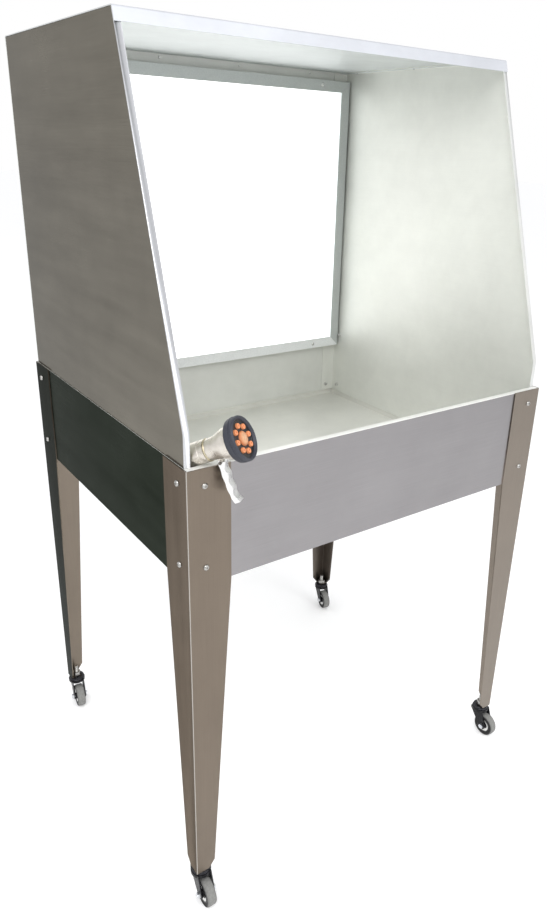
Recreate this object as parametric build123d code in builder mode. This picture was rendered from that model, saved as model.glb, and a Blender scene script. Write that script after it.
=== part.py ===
from build123d import *
import math
import os

os.makedirs("parts", exist_ok=True)

# Screen washout booth on four swivel casters, in millimetres.
# The floor is z = 0, +X is the right hand side and -Y is the open front.

# Tub
tub_width = 760
tub_depth = 640
panel_height = 188
sheet = 1.5
fit = 0.2
rim_flange = 10
plan_shift = 18

# Floor pan and drain
pan_upstand = 12
pan_fall = 10
drain_land = 110
drain_hole_r = 25
drain_flange_r = 36
drain_flange_t = 2
drain_thread_r = 24
tail_r = 20
tail_bore_r = 18
tail_drop = 85
thread_drop = 22
gasket_t = 3
locknut_t = 9
locknut_flats = 66
locknut_sides = 8
gasket_r = 34
strainer_r = 27
strainer_t = 1.5
strainer_hole_r = 2.2
strainer_radii = (6, 12, 17)
strainer_counts = (6, 12, 16)

# Legs
leg_length = 767
leg_sheet = 2.0
leg_flange_top = 71
leg_flange_foot = 35
foot_cut = 13
foot_cut_height = 17
foot_plate = 3.0
stem_inset = 15

# Leg bolts
bolt_inset = 28.5
bolt_drops = (27, 158)
bolt_r = 2.5
bolt_hole_r = 2.75
bolt_head_r = 4.75
bolt_head_h = 2.75
bolt_shoulder = (4.0, 1.8)
bolt_crown_r = 2.1
bolt_socket = 1.5
bolt_socket_depth = 1.6
nut_flats = 8
nut_h = 4.5
bolt_tip = 1.5
thread_gap = 0.05

# Hood
hood_height = 575
top_setback = 176
knee_height = 49
knee_setback = 13
skirt_gap = 3
front_flange = 10
rear_flange = 36
top_flange = 20
top_lip = 20
back_lip = 16
screw_r = 2.0
screw_head_r = 4.0
screw_head_h = 1.6
screw_brim = 0.8
screw_crown_r = 2.8
screw_reach = 5.0
back_screw_heights = (90, 290, 490)
screw_spacing = 180
lip_screw_count = 4

# Backlight
light_height = 607
light_drop = 52
light_side_gap = 2.8
light_depth = 16.5
bar_width = 23
bar_wall = 2.0
diffuser_t = 4.0
diffuser_lap = 8.0
tray_gap = 0.3
tray_inset = 26
strip_count = 8
strip_width = 10
strip_t = 1.6
light_screw_end = 78
light_screw_edge = 10
gland_r = 8
gland_bore_r = 4
gland_flats = 22
gland_hex_t = 5
gland_dome = 14
gland_dome_r = 10
gland_taper = 12
gland_nut_t = 4
gland_tail = 1
gland_clear = 4
gland_end = 122
gland_row = 3

# Casters
caster_height = 68
wheel_r = 25
tread_width = 18
tyre_edge_r = 3
tyre_gap = 0.05
hub_r = 17
hub_width = 20
hub_boss_r = 7
hub_web = 8
hub_rim_r = 14
hub_rim_width = 15
axle_r = 3.0
axle_nut_flats = 10
axle_nut_h = 4
running = 0.05
fork_gap = 0.3
trail = 20
fork_sheet = 2.2
fork_inner = 11
fork_eye_r = 8
cheek_root = 30
crown_r = 18
crown_t = 3
race_r = 17
race_t = 5
kingpin_r = 4
kingpin_head_r = 6.5
kingpin_head_t = 3.5
stem_r = 5
stem_height = 26
stem_nut_flats = 16
stem_nut_h = 8
swivels = {"front_left": 268, "front_right": 272, "back_left": 262, "back_right": 257}

# Spray gun, hooked over the front rim near its left end
gun_x = 43
gun_back = 8
rest_gap = 0.3
gun_yaw = 36
gun_pitch = 26
barrel_r = 17
barrel_back = 42
barrel_tail_r = 11
barrel_tail_bevel = 4.5
neck_r = 14
neck_width = 5
cone_length = 45.5
cone_r = 26
spigot_r = 6
spigot_length = 4
bezel_r = 32.5
bezel_depth = 11.6
bezel_bevel = 2
bezel_lip = 1.5
face_r = 27
face_recess = 4
jet_r = 4.2
jet_bore_r = 1.4
jet_h = 3
jet_circle_r = 18.5
jet_count = 8
centre_jet_r = 10.5
grip_start = 27
grip_angle = 32
grip_length = 104
grip_half_depth = 13
grip_half_width = 10.5
grip_swells = ((0, 0.92), (0.45, 1.0), (1, 0.86))
inlet_r = 13.2
inlet_length = 14
inlet_bore_r = 9
pivot_x = 9
pivot_drop = 21.5
pivot_r = 1.5
pin_head_r = 2.4
lug_half = 3.5
lug_root = 2
ear_r = 3.4
trigger_length = 66
trigger_half = 7.2
trigger_t = 7
trigger_slot = (14, 10)
trigger_waves = ((1.0, 1.0), (0.82, 0.75), (0.62, 1.0), (0.42, 0.75), (0.2, 0.95))

# Places that follow from the sizes above
rim_z = caster_height + leg_length
outer_x = tub_width / 2
front_y = plan_shift - tub_depth / 2
back_y = front_y + tub_depth
mid_y = (front_y + back_y) / 2
panel_x = outer_x - leg_sheet
panel_front_y = front_y + leg_sheet
panel_back_y = back_y - leg_sheet
panel_low_z = rim_z - panel_height
hood_x = panel_x - sheet - fit
hood_back_y = panel_back_y - sheet - fit
hood_front_y = front_y + knee_setback
hood_top_z = rim_z + hood_height
skirt_z = panel_low_z + pan_upstand + skirt_gap
bolt_x = outer_x - bolt_inset
bolt_front_y = front_y + bolt_inset
bolt_back_y = back_y - bolt_inset
bolt_levels = [rim_z - drop for drop in bolt_drops]
light_back_y = hood_back_y - 2 * sheet - fit
light_front_y = light_back_y - light_depth
light_x = hood_x - sheet - light_side_gap
light_low_z = rim_z - light_drop
light_top_z = light_low_z + light_height
light_mid_z = (light_low_z + light_top_z) / 2


def front_plane(y):
    """Upright plane at the depth y, its normal towards the front."""
    return Plane.XZ.offset(-y)


def side_plane(x):
    """Upright plane at x, its normal towards the right."""
    return Plane.YZ.offset(x)


def save(part, name):
    """Label one finished piece and write it."""
    part.label = name
    export_step(part, f"parts/{name}.step")


# Tub panels: four folded sheets that the legs bolt together

with BuildPart() as tub_front_panel:
    with BuildSketch(front_plane(panel_front_y + sheet)):
        with Locations((0, (rim_z + panel_low_z) / 2)):
            Rectangle(2 * panel_x, panel_height)
        with Locations([(side * bolt_x, z) for side in (-1, 1) for z in bolt_levels]):
            Circle(bolt_hole_r, mode=Mode.SUBTRACT)
    extrude(amount=sheet)
    with BuildSketch(Plane.XY.offset(rim_z - sheet)):
        with Locations((0, panel_front_y + sheet)):
            Rectangle(2 * (panel_x - sheet), rim_flange - sheet, align=(Align.CENTER, Align.MIN))
    extrude(amount=sheet)
save(tub_front_panel.part, "tub_front_panel")

with BuildPart() as tub_back_panel:
    with BuildSketch(front_plane(panel_back_y)):
        with Locations((0, (rim_z + panel_low_z) / 2)):
            Rectangle(2 * panel_x, panel_height)
        with Locations([(side * bolt_x, z) for side in (-1, 1) for z in bolt_levels]):
            Circle(bolt_hole_r, mode=Mode.SUBTRACT)
    extrude(amount=sheet)
save(tub_back_panel.part, "tub_back_panel")

with BuildPart() as tub_right_panel:
    with BuildSketch(side_plane(panel_x - sheet)):
        with Locations((mid_y, (rim_z + panel_low_z) / 2)):
            Rectangle(panel_back_y - panel_front_y - 2 * sheet, panel_height)
        with Locations([(y, z) for y in (bolt_front_y, bolt_back_y) for z in bolt_levels]):
            Circle(bolt_hole_r, mode=Mode.SUBTRACT)
    extrude(amount=sheet)
save(tub_right_panel.part, "tub_right_panel")
save(mirror(tub_right_panel.part, about=Plane.YZ), "tub_left_panel")


# Floor pan: cross fall to a flat drain land, with an upstand against the panels

pan_half_x = panel_x - sheet
pan_half_y = (panel_back_y - panel_front_y) / 2 - sheet
land_z = panel_low_z + sheet - pan_fall


def pan_slope(top_z, inset):
    """Four-sided funnel whose wide end lies at top_z, inset from the panels."""
    with BuildPart() as slope:
        with BuildSketch(Plane.XY.offset(top_z)):
            with Locations((0, mid_y)):
                Rectangle(2 * (pan_half_x - inset), 2 * (pan_half_y - inset))
        with BuildSketch(Plane.XY.offset(top_z - pan_fall)):
            with Locations((0, mid_y)):
                Rectangle(drain_land, drain_land)
        loft()
    return slope.part


pan_belly = pan_slope(panel_low_z, 0)
pan_hollow = pan_slope(panel_low_z + sheet, sheet)

with BuildPart() as tub_floor_pan:
    with BuildSketch(Plane.XY.offset(panel_low_z)):
        with Locations((0, mid_y)):
            Rectangle(2 * pan_half_x, 2 * pan_half_y)
    extrude(amount=pan_upstand)
    with BuildSketch(Plane.XY.offset(panel_low_z + sheet)):
        with Locations((0, mid_y)):
            Rectangle(2 * (pan_half_x - sheet), 2 * (pan_half_y - sheet))
    extrude(amount=pan_upstand, mode=Mode.SUBTRACT)
    add(pan_belly)
    add(pan_hollow, mode=Mode.SUBTRACT)
    with Locations((0, mid_y, land_z)):
        Hole(drain_hole_r)
save(tub_floor_pan.part, "tub_floor_pan")


# Drain: a flanged waste clamped through the land, with its tail pointing down

drain_plane = Plane(origin=(0, mid_y, land_z), x_dir=(1, 0, 0), z_dir=(0, -1, 0))
drain_axis = Axis((0, mid_y, 0), (0, 0, 1))
locknut_top = -sheet - gasket_t

with BuildPart() as drain_waste:
    with BuildSketch(drain_plane):
        with BuildLine():
            Polyline(
                (tail_bore_r, drain_flange_t),
                (drain_flange_r, drain_flange_t),
                (drain_flange_r, 0),
                (drain_thread_r, 0),
                (drain_thread_r, -thread_drop),
                (tail_r, -thread_drop),
                (tail_r, -tail_drop),
                (tail_bore_r, -tail_drop),
                close=True,
            )
        make_face()
    revolve(axis=drain_axis)
save(drain_waste.part, "drain_waste")

with BuildPart() as drain_gasket:
    with BuildSketch(Plane.XY.offset(land_z - sheet)):
        with Locations((0, mid_y)):
            Circle(gasket_r)
            Circle(drain_thread_r + thread_gap, mode=Mode.SUBTRACT)
    extrude(amount=-gasket_t)
save(drain_gasket.part, "drain_gasket")

with BuildPart() as drain_locknut:
    with BuildSketch(Plane.XY.offset(land_z + locknut_top)):
        with Locations((0, mid_y)):
            RegularPolygon(locknut_flats / 2, locknut_sides, major_radius=False)
            Circle(drain_thread_r + thread_gap, mode=Mode.SUBTRACT)
    extrude(amount=-locknut_t)
save(drain_locknut.part, "drain_locknut")

with BuildPart() as drain_strainer:
    with BuildSketch(Plane.XY.offset(land_z + drain_flange_t)):
        with Locations((0, mid_y)):
            Circle(strainer_r)
            for ring, count in zip(strainer_radii, strainer_counts):
                with PolarLocations(ring, count):
                    Circle(strainer_hole_r, mode=Mode.SUBTRACT)
    extrude(amount=strainer_t)
save(drain_strainer.part, "drain_strainer")


# Legs: folded angles outside the tub, tapering below it to a foot plate

def leg_flange(plane, fold):
    """One flange of a leg from its fold outwards, on the plane of its front or right face."""
    with BuildPart() as flange:
        with BuildSketch(plane):
            with BuildLine():
                Polyline(
                    (fold, caster_height),
                    (fold + leg_flange_foot - foot_cut, caster_height),
                    (fold + leg_flange_foot, caster_height + foot_cut_height),
                    (fold + leg_flange_top, panel_low_z),
                    (fold + leg_flange_top, rim_z),
                    (fold, rim_z),
                    close=True,
                )
            make_face()
            with Locations([(fold + bolt_inset, z) for z in bolt_levels]):
                Circle(bolt_hole_r, mode=Mode.SUBTRACT)
        extrude(amount=-leg_sheet)
    return flange.part


front_half = leg_flange(front_plane(front_y), -outer_x)
side_half = leg_flange(side_plane(leg_sheet - outer_x), front_y)
foot_span = leg_flange_foot - foot_cut - leg_sheet
stem_x = outer_x - stem_inset
stem_front_y = front_y + stem_inset

with BuildPart() as leg_front_left:
    add(front_half)
    add(side_half)
    with BuildSketch(Plane.XY.offset(caster_height)):
        with Locations((-outer_x + leg_sheet, front_y + leg_sheet)):
            Rectangle(foot_span, foot_span, align=(Align.MIN, Align.MIN))
        with Locations((-stem_x, stem_front_y)):
            Circle(stem_r + fit, mode=Mode.SUBTRACT)
    extrude(amount=foot_plate)
leg_front_right = mirror(leg_front_left.part, about=Plane.YZ)
save(leg_front_left.part, "leg_front_left")
save(leg_front_right, "leg_front_right")
save(mirror(leg_front_left.part, about=front_plane(mid_y)), "leg_back_left")
save(mirror(leg_front_right, about=front_plane(mid_y)), "leg_back_right")


# Leg bolts and their nuts. Those at the sides and the back also clamp the hood.

front_grip = leg_sheet + sheet
side_grip = front_grip + fit + sheet
back_grip = side_grip + sheet


def bolt_sites():
    """Plane on the leg's outer face and clamped thickness of every leg bolt."""
    sites = []
    for side in (-1, 1):
        for z in bolt_levels:
            front = Plane(origin=(side * bolt_x, front_y, z), z_dir=(0, -1, 0))
            back = Plane(origin=(side * bolt_x, back_y, z), z_dir=(0, 1, 0))
            sites.append((front, front_grip))
            sites.append((back, back_grip))
            for y in (bolt_front_y, bolt_back_y):
                flank = Plane(origin=(side * outer_x, y, z), z_dir=(side, 0, 0))
                sites.append((flank, side_grip))
    return sites


def button_bolt(grip):
    """Socket button head bolt, its head seated on the local z = 0."""
    reach = grip + nut_h + bolt_tip
    with BuildPart() as bolt:
        with BuildSketch(Plane.XZ):
            with BuildLine():
                Polyline((0, bolt_head_h), (0, -reach), (bolt_r, -reach), (bolt_r, 0), (bolt_head_r, 0))
                ThreePointArc((bolt_head_r, 0), bolt_shoulder, (bolt_crown_r, bolt_head_h))
                Line((bolt_crown_r, bolt_head_h), (0, bolt_head_h))
            make_face()
        revolve(axis=Axis.Z)
        with BuildSketch(Plane.XY.offset(bolt_head_h)):
            RegularPolygon(bolt_socket, 6, major_radius=False)
        extrude(amount=-bolt_socket_depth, mode=Mode.SUBTRACT)
    return bolt.part


def hex_nut(flats, height, bore_r):
    """Hexagon nut standing on the local z = 0."""
    with BuildPart() as nut:
        with BuildSketch():
            RegularPolygon(flats / 2, 6, major_radius=False)
            Circle(bore_r, mode=Mode.SUBTRACT)
        extrude(amount=height)
    return nut.part


bolts = {grip: button_bolt(grip) for grip in (front_grip, side_grip, back_grip)}
leg_nut = hex_nut(nut_flats, nut_h, bolt_r + thread_gap)

with BuildPart() as leg_bolts:
    for plane, grip in bolt_sites():
        add(bolts[grip].moved(plane.location))
save(leg_bolts.part, "leg_bolts")

with BuildPart() as leg_nuts:
    for plane, grip in bolt_sites():
        add(leg_nut.moved(plane.offset(-grip - nut_h).location))
save(leg_nuts.part, "leg_nuts")


# Hood: two sides, a back and a top that stand inside the rim

side_back_y = hood_back_y - sheet
side_top_z = hood_top_z - sheet
knee = (hood_front_y, rim_z + knee_height)
brow = (front_y + top_setback, side_top_z)
slant = math.atan2(brow[1] - knee[1], brow[0] - knee[0])
top_edge_y = brow[0] - (sheet + fit) / math.sin(slant) + sheet / math.tan(slant)
back_screw_x = hood_x - rear_flange / 2
top_screw_x = hood_x - top_flange / 2
back_screw_levels = [rim_z + height for height in back_screw_heights]
top_mid_y = (front_y + top_setback + hood_back_y) / 2
top_screw_rows = [top_mid_y + step * screw_spacing for step in (-1, 0, 1)]
lip_screw_steps = [step - (lip_screw_count - 1) / 2 for step in range(lip_screw_count)]
lip_screw_xs = [step * screw_spacing for step in lip_screw_steps]
lip_screw_z = hood_top_z - back_lip / 2
light_screw_x = light_x - light_screw_end
light_screw_zs = (light_low_z + light_screw_edge, light_top_z - light_screw_edge)
strip_pitch = (light_height - 2 * tray_inset) / strip_count
gland_x = light_x - gland_end
gland_z = light_mid_z - gland_row * strip_pitch
hole_r = screw_r + fit

with BuildPart() as hood_right_panel:
    with BuildSketch(side_plane(hood_x - sheet)):
        with BuildLine():
            Polyline(
                (side_back_y, skirt_z),
                (side_back_y, side_top_z),
                brow,
                knee,
                (hood_front_y, skirt_z),
                close=True,
            )
        make_face()
        with Locations([(y, z) for y in (bolt_front_y, bolt_back_y) for z in bolt_levels]):
            Circle(bolt_hole_r, mode=Mode.SUBTRACT)
    extrude(amount=sheet)
    with BuildSketch(side_plane(hood_x)):
        with BuildLine():
            Polyline(brow, knee, (hood_front_y, skirt_z))
            offset(amount=sheet, side=Side.LEFT, kind=Kind.INTERSECTION)
        make_face()
    extrude(amount=-front_flange)
    with BuildSketch(front_plane(side_back_y)):
        with Locations((hood_x, skirt_z)):
            Rectangle(rear_flange, side_top_z - skirt_z, align=(Align.MAX, Align.MIN))
        with Locations([(bolt_x, z) for z in bolt_levels]):
            Circle(bolt_hole_r, mode=Mode.SUBTRACT)
        with Locations([(back_screw_x, z) for z in back_screw_levels]):
            Circle(hole_r, mode=Mode.SUBTRACT)
    extrude(amount=sheet)
    with BuildSketch(Plane.XY.offset(side_top_z)):
        with Locations((hood_x, side_back_y)):
            Rectangle(top_flange, side_back_y - brow[0], align=(Align.MAX, Align.MAX))
        with Locations([(top_screw_x, y) for y in top_screw_rows]):
            Circle(hole_r, mode=Mode.SUBTRACT)
    extrude(amount=-sheet)
save(hood_right_panel.part, "hood_right_panel")
save(mirror(hood_right_panel.part, about=Plane.YZ), "hood_left_panel")

with BuildPart() as hood_back_panel:
    with BuildSketch(front_plane(hood_back_y)):
        with Locations((0, skirt_z)):
            Rectangle(2 * hood_x, side_top_z - skirt_z, align=(Align.CENTER, Align.MIN))
        with Locations([(side * bolt_x, z) for side in (-1, 1) for z in bolt_levels]):
            Circle(bolt_hole_r, mode=Mode.SUBTRACT)
        with Locations([(side * back_screw_x, z) for side in (-1, 1) for z in back_screw_levels]):
            Circle(hole_r, mode=Mode.SUBTRACT)
        with Locations([(side * light_screw_x, z) for side in (-1, 1) for z in light_screw_zs]):
            Circle(hole_r, mode=Mode.SUBTRACT)
        with Locations([(x, lip_screw_z) for x in lip_screw_xs]):
            Circle(hole_r, mode=Mode.SUBTRACT)
        with Locations((gland_x, gland_z)):
            Circle(gland_r + fit, mode=Mode.SUBTRACT)
    extrude(amount=sheet)
save(hood_back_panel.part, "hood_back_panel")

lip_foot = (
    top_edge_y - top_lip * math.cos(slant),
    hood_top_z - top_lip * math.sin(slant),
)

with BuildPart() as hood_top_panel:
    with BuildSketch(side_plane(0)):
        with BuildLine():
            Polyline(
                (hood_back_y + sheet, hood_top_z - back_lip),
                (hood_back_y + sheet, hood_top_z),
                (top_edge_y, hood_top_z),
                lip_foot,
            )
            offset(amount=sheet, side=Side.LEFT, kind=Kind.INTERSECTION)
        make_face()
    extrude(amount=hood_x, both=True)
    with BuildSketch(Plane.XY.offset(side_top_z)):
        with Locations([(side * top_screw_x, y) for side in (-1, 1) for y in top_screw_rows]):
            Circle(hole_r)
    extrude(amount=sheet, mode=Mode.SUBTRACT)
    with BuildSketch(front_plane(hood_back_y + sheet)):
        with Locations([(x, lip_screw_z) for x in lip_screw_xs]):
            Circle(hole_r)
    extrude(amount=sheet, mode=Mode.SUBTRACT)
save(hood_top_panel.part, "hood_top_panel")


def pan_screw(reach):
    """Pan head screw, its head seated on the local z = 0."""
    with BuildPart() as screw:
        with BuildSketch(Plane.XZ):
            with BuildLine():
                Polyline(
                    (0, screw_head_h),
                    (0, -reach),
                    (screw_r, -reach),
                    (screw_r, 0),
                    (screw_head_r, 0),
                    (screw_head_r, screw_brim),
                    (screw_crown_r, screw_head_h),
                    close=True,
                )
            make_face()
        revolve(axis=Axis.Z)
    return screw.part


hood_screw = pan_screw(screw_reach)

with BuildPart() as hood_screws:
    for side in (-1, 1):
        for z in back_screw_levels:
            seat = Plane(origin=(side * back_screw_x, hood_back_y, z), z_dir=(0, 1, 0))
            add(hood_screw.moved(seat.location))
        for y in top_screw_rows:
            add(hood_screw.moved(Location((side * top_screw_x, y, hood_top_z))))
    for x in lip_screw_xs:
        seat = Plane(origin=(x, hood_back_y + sheet, lip_screw_z), z_dir=(0, 1, 0))
        add(hood_screw.moved(seat.location))
save(hood_screws.part, "hood_screws")


# Backlight: a mitred aluminium frame with an opal sheet, a tray and its strips

diffuser_back_y = light_front_y + bar_wall + diffuser_t
tray_half_x = light_x - tray_inset
tray_half_z = light_height / 2 - tray_inset
tray_face_y = light_back_y - sheet


def light_bar(turn, reach, half_length):
    """Channel bar of the frame, with mitred ends. Turn 0 is the top bar."""
    turned = math.radians(turn)
    face = Plane(
        origin=(0, light_front_y, light_mid_z),
        x_dir=(math.cos(turned), 0, math.sin(turned)),
        z_dir=(0, -1, 0),
    )
    with BuildPart() as bar:
        for width, depth in ((bar_width, bar_wall), (bar_wall, light_depth)):
            with BuildSketch(face):
                with BuildLine():
                    Polyline(
                        (-half_length, reach),
                        (half_length, reach),
                        (half_length - width, reach - width),
                        (width - half_length, reach - width),
                        close=True,
                    )
                make_face()
            extrude(amount=-depth)
    return bar.part


def screwed_bar(turn, screw_z):
    """Top or bottom bar of the frame, with its two screw holes."""
    with BuildPart() as bar:
        add(light_bar(turn, light_height / 2, light_x))
        with BuildSketch(front_plane(light_front_y)):
            with Locations([(side * light_screw_x, screw_z) for side in (-1, 1)]):
                Circle(hole_r)
        extrude(amount=-bar_wall, mode=Mode.SUBTRACT)
    return bar.part


save(screwed_bar(0, light_screw_zs[1]), "light_frame_top")
save(screwed_bar(180, light_screw_zs[0]), "light_frame_bottom")
save(light_bar(-90, light_x, light_height / 2), "light_frame_right")
save(light_bar(90, light_x, light_height / 2), "light_frame_left")

with BuildPart() as light_diffuser:
    with BuildSketch(front_plane(diffuser_back_y)):
        with Locations((0, light_mid_z)):
            Rectangle(
                2 * (light_x - bar_width + diffuser_lap),
                light_height - 2 * (bar_width - diffuser_lap),
            )
    extrude(amount=diffuser_t)
save(light_diffuser.part, "light_diffuser")

with BuildPart() as light_tray:
    with BuildSketch(front_plane(light_back_y)):
        with Locations((0, light_mid_z)):
            Rectangle(2 * tray_half_x, 2 * tray_half_z)
    extrude(amount=light_back_y - diffuser_back_y - tray_gap)
    with BuildSketch(front_plane(tray_face_y)):
        with Locations((0, light_mid_z)):
            Rectangle(2 * (tray_half_x - sheet), 2 * (tray_half_z - sheet))
    extrude(amount=light_depth, mode=Mode.SUBTRACT)
    with BuildSketch(front_plane(light_back_y)):
        with Locations((gland_x, gland_z)):
            Circle(gland_flats / 2 + gland_clear)
    extrude(amount=sheet, mode=Mode.SUBTRACT)
save(light_tray.part, "light_tray")

with BuildPart() as light_strips:
    with BuildSketch(front_plane(tray_face_y)):
        for row in range(strip_count):
            with Locations((0, light_mid_z + (row - (strip_count - 1) / 2) * strip_pitch)):
                Rectangle(2 * (tray_half_x - strip_width), strip_width)
    extrude(amount=strip_t)
save(light_strips.part, "light_strips")

light_screw = pan_screw(hood_back_y - light_front_y)

with BuildPart() as light_screws:
    for side in (-1, 1):
        for z in light_screw_zs:
            seat = Plane(origin=(side * light_screw_x, light_front_y, z), z_dir=(0, -1, 0))
            add(light_screw.moved(seat.location))
save(light_screws.part, "light_screws")

gland_seat = Plane(origin=(gland_x, hood_back_y, gland_z), z_dir=(0, 1, 0))
gland_reach = sheet + gland_nut_t + gland_tail

with BuildPart() as cable_gland:
    with BuildSketch(gland_seat):
        RegularPolygon(gland_flats / 2, 6, major_radius=False)
    extrude(amount=gland_hex_t)
    with BuildSketch(gland_seat.offset(gland_hex_t)):
        Circle(gland_dome_r)
    extrude(amount=gland_dome, taper=gland_taper)
    with BuildSketch(gland_seat):
        Circle(gland_r)
    extrude(amount=-gland_reach)
    with BuildSketch(gland_seat.offset(-gland_reach)):
        Circle(gland_bore_r)
    extrude(amount=gland_reach + gland_hex_t + gland_dome, mode=Mode.SUBTRACT)
save(cable_gland.part, "cable_gland")

with BuildPart() as cable_gland_nut:
    add(
        hex_nut(gland_flats, gland_nut_t, gland_r + thread_gap).moved(
            gland_seat.offset(-(sheet + gland_nut_t)).location
        )
    )
save(cable_gland_nut.part, "cable_gland_nut")


# Casters, each built with its stem on the local z axis, the underside of the
# leg at z = 0 and the wheel trailing along +X, then turned to its swivel angle

axle_z = wheel_r - caster_height
crown_top = -race_t - fork_gap
crown_low = crown_top - crown_t
axle_reach = fork_inner + fork_sheet
hub_half = hub_width / 2
tyre_inner_r = hub_r + tyre_gap
wheel_place = Location((trail, 0, axle_z), (90, 0, 0))

with BuildPart() as caster_stem:
    with BuildSketch(Plane.XZ):
        with BuildLine():
            Polyline(
                (0, stem_height),
                (stem_r, stem_height),
                (stem_r, 0),
                (race_r, 0),
                (race_r, -race_t),
                (kingpin_r, -race_t),
                (kingpin_r, crown_low - fork_gap),
                (kingpin_head_r, crown_low - fork_gap),
                (kingpin_head_r, crown_low - fork_gap - kingpin_head_t),
                (0, crown_low - fork_gap - kingpin_head_t),
                close=True,
            )
        make_face()
    revolve(axis=Axis.Z)

with BuildPart() as caster_fork:
    with BuildSketch(Plane.XY.offset(crown_top)):
        Circle(crown_r)
    extrude(amount=-crown_t)
    with BuildSketch(Plane.XY.offset(crown_low)):
        Circle(crown_r)
        Circle(crown_r - fork_sheet, mode=Mode.SUBTRACT)
    extrude(amount=-crown_t)
    with BuildSketch(Plane.XZ.offset(-fork_inner)) as cheek:
        with Locations((0, crown_top - crown_t)):
            Rectangle(cheek_root, 2 * crown_t)
        with Locations((trail, axle_z)):
            Circle(fork_eye_r)
        make_hull()
        with Locations((trail, axle_z)):
            Circle(axle_r + running, mode=Mode.SUBTRACT)
    extrude(amount=-fork_sheet)
    mirror(about=Plane.XZ)
    with BuildSketch(Plane.XY.offset(crown_top)):
        Circle(kingpin_r + running)
    extrude(amount=-crown_t, mode=Mode.SUBTRACT)

axle_nut = hex_nut(axle_nut_flats, axle_nut_h, axle_r + thread_gap)

with BuildPart() as caster_axle:
    with BuildSketch(Plane.XY.offset(-axle_reach)):
        RegularPolygon(axle_nut_flats / 2, 6, major_radius=False)
    extrude(amount=-axle_nut_h)
    with BuildSketch(Plane.XY.offset(-axle_reach)):
        Circle(axle_r)
    extrude(amount=2 * axle_reach + axle_nut_h + bolt_tip)
    add(axle_nut.moved(Location((0, 0, axle_reach))))

with BuildPart() as caster_hub:
    with BuildSketch(Plane.XZ):
        with BuildLine():
            Polyline(
                (axle_r + running, 0),
                (axle_r + running, hub_half),
                (hub_boss_r, hub_half),
                (hub_boss_r, hub_web / 2),
                (hub_rim_r, hub_web / 2),
                (hub_rim_r, hub_rim_width / 2),
                (hub_r, hub_rim_width / 2),
                (hub_r, 0),
                close=True,
            )
        make_face()
    revolve(axis=Axis.Z)
    mirror(about=Plane.XY)

with BuildPart() as caster_tyre:
    with BuildSketch(Plane.XZ):
        with Locations(((tyre_inner_r + wheel_r) / 2, 0)):
            RectangleRounded(wheel_r - tyre_inner_r, tread_width, tyre_edge_r)
    revolve(axis=Axis.Z)

stem_nut = hex_nut(stem_nut_flats, stem_nut_h, stem_r + thread_gap)

for corner, swivel in swivels.items():
    x = stem_x if corner.endswith("right") else -stem_x
    y = stem_front_y if corner.startswith("front") else back_y - stem_inset
    place = Location((x, y, caster_height), (0, 0, swivel))
    save(caster_stem.part.moved(place), f"caster_{corner}_stem")
    save(caster_fork.part.moved(place), f"caster_{corner}_fork")
    save(caster_axle.part.moved(place * wheel_place), f"caster_{corner}_axle")
    save(caster_hub.part.moved(place * wheel_place), f"caster_{corner}_hub")
    save(caster_tyre.part.moved(place * wheel_place), f"caster_{corner}_tyre")

with BuildPart() as caster_nuts:
    for x in (-stem_x, stem_x):
        for y in (stem_front_y, back_y - stem_inset):
            add(stem_nut.moved(Location((x, y, caster_height + foot_plate))))
save(caster_nuts.part, "caster_nuts")


# Spray gun: built with its barrel on the local x axis, then laid over the rim

yaw = math.radians(gun_yaw)
pitch = math.radians(gun_pitch)
aim = Vector(math.cos(pitch) * math.sin(yaw), -math.cos(pitch) * math.cos(yaw), math.sin(pitch))
aim_up = Vector(-math.sin(pitch) * math.sin(yaw), math.sin(pitch) * math.cos(yaw), math.cos(pitch))
rim_inner = leg_sheet + rim_flange
barrel_half_height = barrel_r * math.sqrt(1 - aim.X**2) / -aim.Y
gun_height = barrel_half_height + rest_gap - (rim_inner - gun_back) * aim.Z / aim.Y
gun_plane = Plane(
    origin=(gun_x - outer_x, front_y + gun_back, rim_z + gun_height), x_dir=aim, z_dir=aim_up
)
gun_place = gun_plane.location
turret_x = cone_length + fork_gap
face_x = turret_x + bezel_depth - face_recess
pivot_z = -pivot_drop

with BuildPart() as gun_barrel:
    with BuildSketch(Plane.XZ):
        with BuildLine():
            Polyline(
                (-barrel_back, 0),
                (-barrel_back, barrel_tail_r),
                (-barrel_back + barrel_tail_bevel, barrel_r),
                (-neck_width, barrel_r),
                (-neck_width, neck_r),
                (0, neck_r),
                (cone_length, cone_r),
                (cone_length, spigot_r),
                (cone_length + spigot_length, spigot_r),
                (cone_length + spigot_length, 0),
                close=True,
            )
        make_face()
    revolve(axis=Axis.X)
    with BuildSketch(Plane.XZ.offset(-lug_half)):
        with Locations((pivot_x, pivot_z)):
            Circle(ear_r)
        with Locations((pivot_x, -neck_r)):
            Rectangle(2 * ear_r, lug_root)
        make_hull()
    extrude(amount=2 * lug_half)
    with BuildSketch(Plane.XZ.offset(-lug_half)):
        with Locations((pivot_x, pivot_z)):
            Circle(pivot_r + running)
    extrude(amount=2 * lug_half, mode=Mode.SUBTRACT)
save(gun_barrel.part.moved(gun_place), "gun_barrel")

grip_turn = math.radians(grip_angle)
grip_plane = Plane(
    origin=(-grip_start, 0, 0),
    x_dir=(math.cos(grip_turn), 0, -math.sin(grip_turn)),
    z_dir=(-math.sin(grip_turn), 0, -math.cos(grip_turn)),
)

with BuildPart() as gun_grip:
    for along, swell in grip_swells:
        with BuildSketch(grip_plane.offset(along * grip_length)):
            Ellipse(swell * grip_half_depth, swell * grip_half_width)
    loft()
    with BuildSketch(Plane.YZ.offset(-barrel_back)):
        Circle(barrel_r + fit / 2)
    extrude(amount=barrel_back, mode=Mode.SUBTRACT)
save(gun_grip.part.moved(gun_place), "gun_grip")

inlet_plane = grip_plane.offset(grip_length)

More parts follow.
